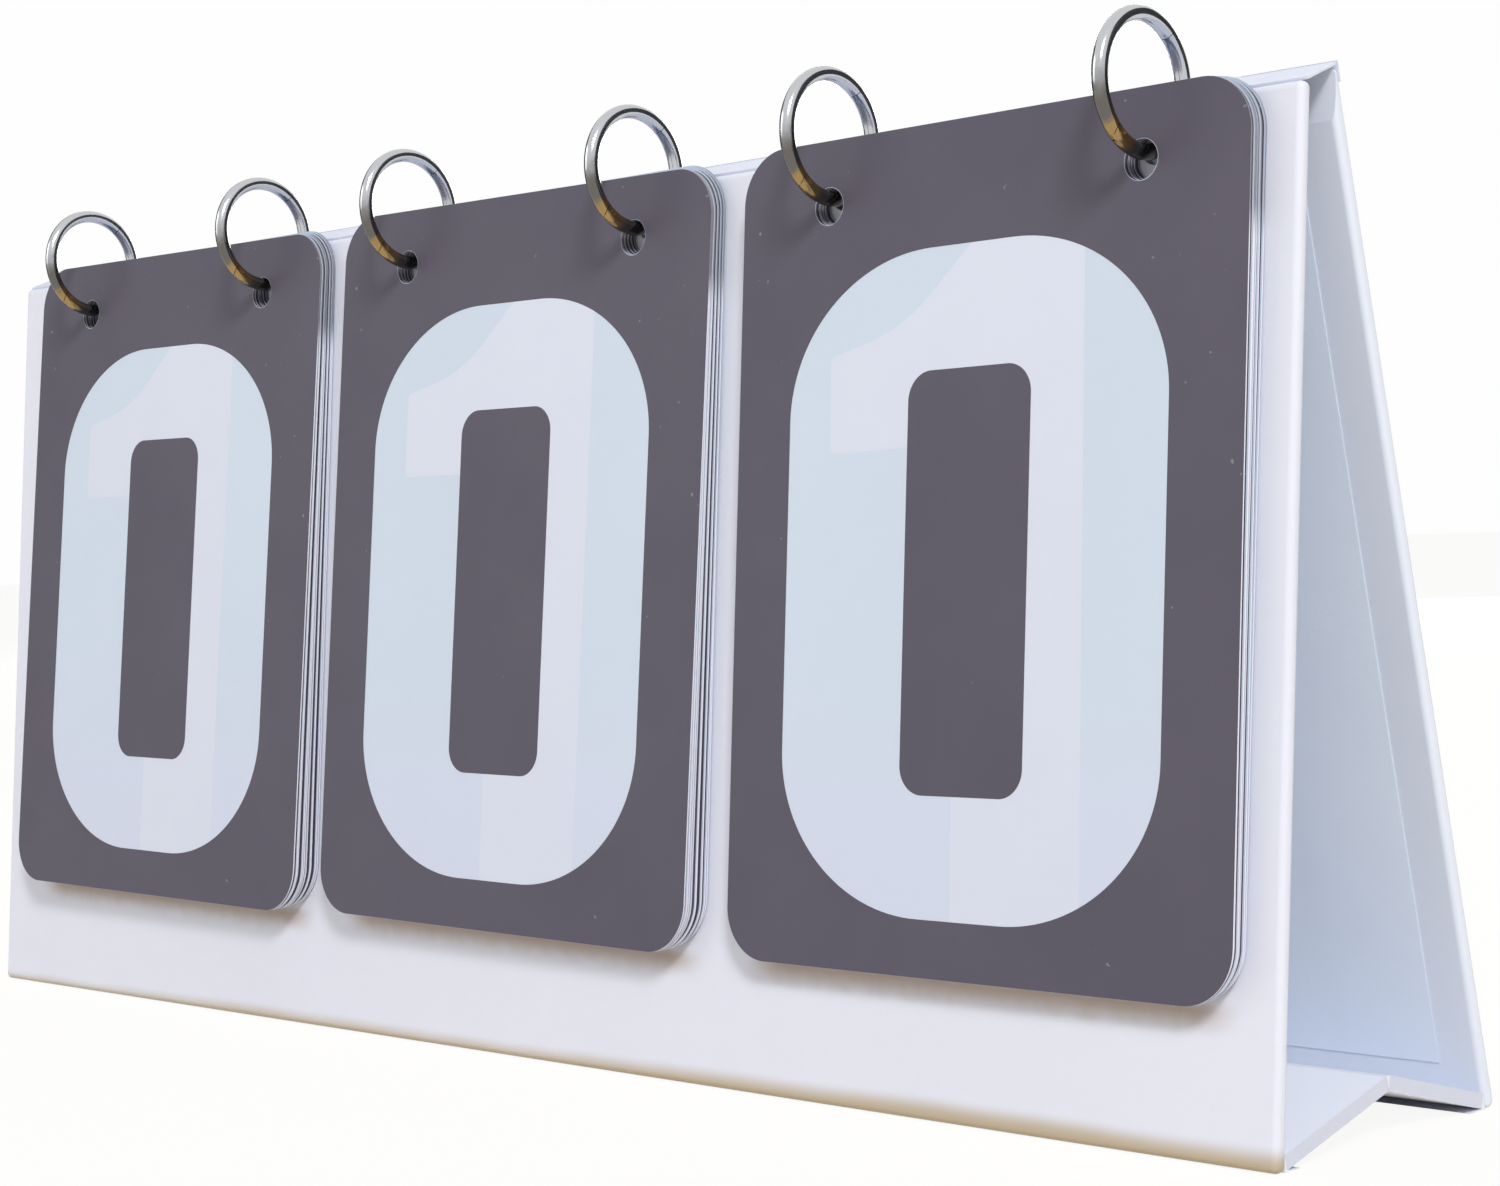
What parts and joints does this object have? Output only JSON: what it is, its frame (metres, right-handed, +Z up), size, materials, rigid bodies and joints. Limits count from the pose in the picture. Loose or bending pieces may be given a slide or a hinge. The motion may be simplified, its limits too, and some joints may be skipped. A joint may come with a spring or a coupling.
{
  "type": "tabletop flip scoreboard",
  "caption": "Covered-board easel with a folding base and stacks of hanging number leaves on split rings that flip over its top edge.",
  "frame": {"origin": "middle of the footprint on the table", "axes": "+X along the board, left to right for the reader; +Y from the reader's side to the back; +Z up"},
  "size_m": [0.33, 0.0608, 0.1634],
  "materials": {
    "board": "rough",
    "cover": "satin laminated",
    "lining": "satin",
    "crease": "satin",
    "ring": "polished nickel",
    "rivet": "polished",
    "leaf": "printed, satin"
  },
  "bodies": {
    "stand": {"front_board": "board", "front_cover": "cover", "front_lining": "lining", "top_hinge_strip": "cover", "bottom_front_hinge": "crease"},
    "front_flap": {"base_front_flap": "cover", "base_ridge_hinge": "crease"},
    "rear_flap": {"base_rear_flap": "cover"},
    "back_panel": {"back_board": "board", "back_cover": "cover", "back_lining": "lining", "bottom_rear_hinge": "crease"},
    "ring_1_rear": {"ring_1_rear_half": "ring", "ring_1_rivet": "rivet"},
    "ring_1_front": {"ring_1_front_half": "ring"},
    "ring_2_rear": {"ring_2_rear_half": "ring", "ring_2_rivet": "rivet"},
    "ring_2_front": {"ring_2_front_half": "ring"},
    "ring_3_rear": {"ring_3_rear_half": "ring", "ring_3_rivet": "rivet"},
    "ring_3_front": {"ring_3_front_half": "ring"},
    "ring_4_rear": {"ring_4_rear_half": "ring", "ring_4_rivet": "rivet"},
    "ring_4_front": {"ring_4_front_half": "ring"},
    "ring_5_rear": {"ring_5_rear_half": "ring", "ring_5_rivet": "rivet"},
    "ring_5_front": {"ring_5_front_half": "ring"},
    "ring_6_rear": {"ring_6_rear_half": "ring", "ring_6_rivet": "rivet"},
    "ring_6_front": {"ring_6_front_half": "ring"},
    "left_leaf_0": {"left_leaf_0": "leaf"},
    "left_leaf_1": {"left_leaf_1": "leaf"},
    "left_leaf_2": {"left_leaf_2": "leaf"},
    "left_leaf_3": {"left_leaf_3": "leaf"},
    "left_leaf_4": {"left_leaf_4": "leaf"},
    "left_leaf_5": {"left_leaf_5": "leaf"},
    "left_leaf_6": {"left_leaf_6": "leaf"},
    "left_leaf_7": {"left_leaf_7": "leaf"},
    "left_leaf_8": {"left_leaf_8": "leaf"},
    "left_leaf_9": {"left_leaf_9": "leaf"},
    "middle_leaf_0": {"middle_leaf_0": "leaf"},
    "middle_leaf_1": {"middle_leaf_1": "leaf"},
    "middle_leaf_2": {"middle_leaf_2": "leaf"},
    "middle_leaf_3": {"middle_leaf_3": "leaf"},
    "middle_leaf_4": {"middle_leaf_4": "leaf"},
    "middle_leaf_5": {"middle_leaf_5": "leaf"},
    "middle_leaf_6": {"middle_leaf_6": "leaf"},
    "middle_leaf_7": {"middle_leaf_7": "leaf"},
    "middle_leaf_8": {"middle_leaf_8": "leaf"},
    "middle_leaf_9": {"middle_leaf_9": "leaf"},
    "right_leaf_0": {"right_leaf_0": "leaf"},
    "right_leaf_1": {"right_leaf_1": "leaf"},
    "right_leaf_2": {"right_leaf_2": "leaf"},
    "right_leaf_3": {"right_leaf_3": "leaf"},
    "right_leaf_4": {"right_leaf_4": "leaf"},
    "right_leaf_5": {"right_leaf_5": "leaf"},
    "right_leaf_6": {"right_leaf_6": "leaf"},
    "right_leaf_7": {"right_leaf_7": "leaf"},
    "right_leaf_8": {"right_leaf_8": "leaf"},
    "right_leaf_9": {"right_leaf_9": "leaf"}
  },
  "joints": [
    {"name": "fold", "type": "hinge", "parent": "stand", "child": "front_flap", "pos_m": [0, -0.02562, 0.00248], "axis": [1, 0, 0], "range_deg": [0, 67]},
    {"name": "fold_rear_flap", "type": "hinge", "parent": "front_flap", "child": "rear_flap", "pos_m": [0, 0.00065, 0.007], "axis": [1, 0, 0], "range_deg": [-145, 0]},
    {"name": "fold_back_panel", "type": "hinge", "parent": "rear_flap", "child": "back_panel", "pos_m": [0, 0.02651, 0.00247], "axis": [1, 0, 0], "range_deg": [0, 59.5]},
    {"name": "ring_1_turn", "type": "hinge", "parent": "stand", "child": "ring_1_rear", "pos_m": [-0.13295, -0.01855, 0.1524], "axis": [1, 0, 0], "range_deg": [0, 340]},
    {"name": "ring_1_open", "type": "hinge", "parent": "ring_1_rear", "child": "ring_1_front", "pos_m": [-0.13295, -0.02485, 0.14489], "axis": [-1, 0, 0], "range_deg": [-40, 0]},
    {"name": "ring_2_turn", "type": "hinge", "parent": "stand", "child": "ring_2_rear", "pos_m": [-0.07205, -0.01855, 0.1524], "axis": [1, 0, 0], "range_deg": [0, 340]},
    {"name": "ring_2_open", "type": "hinge", "parent": "ring_2_rear", "child": "ring_2_front", "pos_m": [-0.07205, -0.02485, 0.14489], "axis": [-1, 0, 0], "range_deg": [-40, 0]},
    {"name": "ring_3_turn", "type": "hinge", "parent": "stand", "child": "ring_3_rear", "pos_m": [-0.02675, -0.01855, 0.1524], "axis": [1, 0, 0], "range_deg": [0, 340]},
    {"name": "ring_3_open", "type": "hinge", "parent": "ring_3_rear", "child": "ring_3_front", "pos_m": [-0.02675, -0.02485, 0.14489], "axis": [-1, 0, 0], "range_deg": [-40, 0]},
    {"name": "ring_4_turn", "type": "hinge", "parent": "stand", "child": "ring_4_rear", "pos_m": [0.03415, -0.01855, 0.1524], "axis": [1, 0, 0], "range_deg": [0, 340]},
    {"name": "ring_4_open", "type": "hinge", "parent": "ring_4_rear", "child": "ring_4_front", "pos_m": [0.03415, -0.02485, 0.14489], "axis": [-1, 0, 0], "range_deg": [-40, 0]},
    {"name": "ring_5_turn", "type": "hinge", "parent": "stand", "child": "ring_5_rear", "pos_m": [0.07945, -0.01855, 0.1524], "axis": [1, 0, 0], "range_deg": [0, 340]},
    {"name": "ring_5_open", "type": "hinge", "parent": "ring_5_rear", "child": "ring_5_front", "pos_m": [0.07945, -0.02485, 0.14489], "axis": [-1, 0, 0], "range_deg": [-40, 0]},
    {"name": "ring_6_turn", "type": "hinge", "parent": "stand", "child": "ring_6_rear", "pos_m": [0.14035, -0.01855, 0.1524], "axis": [1, 0, 0], "range_deg": [0, 340]},
    {"name": "ring_6_open", "type": "hinge", "parent": "ring_6_rear", "child": "ring_6_front", "pos_m": [0.14035, -0.02485, 0.14489], "axis": [-1, 0, 0], "range_deg": [-40, 0]},
    {"name": "left_flip_0", "type": "hinge", "parent": "left_leaf_1", "child": "left_leaf_0", "pos_m": [-0.1025, -0.01855, 0.1524], "axis": [-1, 0, 0], "range_deg": [0, 240]},
    {"name": "left_flip_1", "type": "hinge", "parent": "left_leaf_2", "child": "left_leaf_1", "pos_m": [-0.1025, -0.01855, 0.1524], "axis": [-1, 0, 0], "range_deg": [0, 240]},
    {"name": "left_flip_2", "type": "hinge", "parent": "left_leaf_3", "child": "left_leaf_2", "pos_m": [-0.1025, -0.01855, 0.1524], "axis": [-1, 0, 0], "range_deg": [0, 240]},
    {"name": "left_flip_3", "type": "hinge", "parent": "left_leaf_4", "child": "left_leaf_3", "pos_m": [-0.1025, -0.01855, 0.1524], "axis": [-1, 0, 0], "range_deg": [0, 240]},
    {"name": "left_flip_4", "type": "hinge", "parent": "left_leaf_5", "child": "left_leaf_4", "pos_m": [-0.1025, -0.01855, 0.1524], "axis": [-1, 0, 0], "range_deg": [0, 240]},
    {"name": "left_flip_5", "type": "hinge", "parent": "left_leaf_6", "child": "left_leaf_5", "pos_m": [-0.1025, -0.01855, 0.1524], "axis": [-1, 0, 0], "range_deg": [0, 240]},
    {"name": "left_flip_6", "type": "hinge", "parent": "left_leaf_7", "child": "left_leaf_6", "pos_m": [-0.1025, -0.01855, 0.1524], "axis": [-1, 0, 0], "range_deg": [0, 240]},
    {"name": "left_flip_7", "type": "hinge", "parent": "left_leaf_8", "child": "left_leaf_7", "pos_m": [-0.1025, -0.01855, 0.1524], "axis": [-1, 0, 0], "range_deg": [0, 240]},
    {"name": "left_flip_8", "type": "hinge", "parent": "left_leaf_9", "child": "left_leaf_8", "pos_m": [-0.1025, -0.01855, 0.1524], "axis": [-1, 0, 0], "range_deg": [0, 240]},
    {"name": "left_flip_9", "type": "hinge", "parent": "stand", "child": "left_leaf_9", "pos_m": [-0.1025, -0.01855, 0.1524], "axis": [-1, 0, 0], "range_deg": [0, 240]},
    {"name": "middle_flip_0", "type": "hinge", "parent": "middle_leaf_1", "child": "middle_leaf_0", "pos_m": [0.0037, -0.01855, 0.1524], "axis": [-1, 0, 0], "range_deg": [0, 240]},
    {"name": "middle_flip_1", "type": "hinge", "parent": "middle_leaf_2", "child": "middle_leaf_1", "pos_m": [0.0037, -0.01855, 0.1524], "axis": [-1, 0, 0], "range_deg": [0, 240]},
    {"name": "middle_flip_2", "type": "hinge", "parent": "middle_leaf_3", "child": "middle_leaf_2", "pos_m": [0.0037, -0.01855, 0.1524], "axis": [-1, 0, 0], "range_deg": [0, 240]},
    {"name": "middle_flip_3", "type": "hinge", "parent": "middle_leaf_4", "child": "middle_leaf_3", "pos_m": [0.0037, -0.01855, 0.1524], "axis": [-1, 0, 0], "range_deg": [0, 240]},
    {"name": "middle_flip_4", "type": "hinge", "parent": "middle_leaf_5", "child": "middle_leaf_4", "pos_m": [0.0037, -0.01855, 0.1524], "axis": [-1, 0, 0], "range_deg": [0, 240]},
    {"name": "middle_flip_5", "type": "hinge", "parent": "middle_leaf_6", "child": "middle_leaf_5", "pos_m": [0.0037, -0.01855, 0.1524], "axis": [-1, 0, 0], "range_deg": [0, 240]},
    {"name": "middle_flip_6", "type": "hinge", "parent": "middle_leaf_7", "child": "middle_leaf_6", "pos_m": [0.0037, -0.01855, 0.1524], "axis": [-1, 0, 0], "range_deg": [0, 240]},
    {"name": "middle_flip_7", "type": "hinge", "parent": "middle_leaf_8", "child": "middle_leaf_7", "pos_m": [0.0037, -0.01855, 0.1524], "axis": [-1, 0, 0], "range_deg": [0, 240]},
    {"name": "middle_flip_8", "type": "hinge", "parent": "middle_leaf_9", "child": "middle_leaf_8", "pos_m": [0.0037, -0.01855, 0.1524], "axis": [-1, 0, 0], "range_deg": [0, 240]},
    {"name": "middle_flip_9", "type": "hinge", "parent": "stand", "child": "middle_leaf_9", "pos_m": [0.0037, -0.01855, 0.1524], "axis": [-1, 0, 0], "range_deg": [0, 240]},
    {"name": "right_flip_0", "type": "hinge", "parent": "right_leaf_1", "child": "right_leaf_0", "pos_m": [0.1099, -0.01855, 0.1524], "axis": [-1, 0, 0], "range_deg": [0, 240]},
    {"name": "right_flip_1", "type": "hinge", "parent": "right_leaf_2", "child": "right_leaf_1", "pos_m": [0.1099, -0.01855, 0.1524], "axis": [-1, 0, 0], "range_deg": [0, 240]},
    {"name": "right_flip_2", "type": "hinge", "parent": "right_leaf_3", "child": "right_leaf_2", "pos_m": [0.1099, -0.01855, 0.1524], "axis": [-1, 0, 0], "range_deg": [0, 240]},
    {"name": "right_flip_3", "type": "hinge", "parent": "right_leaf_4", "child": "right_leaf_3", "pos_m": [0.1099, -0.01855, 0.1524], "axis": [-1, 0, 0], "range_deg": [0, 240]},
    {"name": "right_flip_4", "type": "hinge", "parent": "right_leaf_5", "child": "right_leaf_4", "pos_m": [0.1099, -0.01855, 0.1524], "axis": [-1, 0, 0], "range_deg": [0, 240]},
    {"name": "right_flip_5", "type": "hinge", "parent": "right_leaf_6", "child": "right_leaf_5", "pos_m": [0.1099, -0.01855, 0.1524], "axis": [-1, 0, 0], "range_deg": [0, 240]},
    {"name": "right_flip_6", "type": "hinge", "parent": "right_leaf_7", "child": "right_leaf_6", "pos_m": [0.1099, -0.01855, 0.1524], "axis": [-1, 0, 0], "range_deg": [0, 240]},
    {"name": "right_flip_7", "type": "hinge", "parent": "right_leaf_8", "child": "right_leaf_7", "pos_m": [0.1099, -0.01855, 0.1524], "axis": [-1, 0, 0], "range_deg": [0, 240]},
    {"name": "right_flip_8", "type": "hinge", "parent": "right_leaf_9", "child": "right_leaf_8", "pos_m": [0.1099, -0.01855, 0.1524], "axis": [-1, 0, 0], "range_deg": [0, 240]},
    {"name": "right_flip_9", "type": "hinge", "parent": "stand", "child": "right_leaf_9", "pos_m": [0.1099, -0.01855, 0.1524], "axis": [-1, 0, 0], "range_deg": [0, 240]}
  ],
  "couplings": [
    {"joint": "fold_rear_flap", "follows": "fold", "ratio": -2.15},
    {"joint": "fold_back_panel", "follows": "fold", "ratio": 0.878}
  ]
}
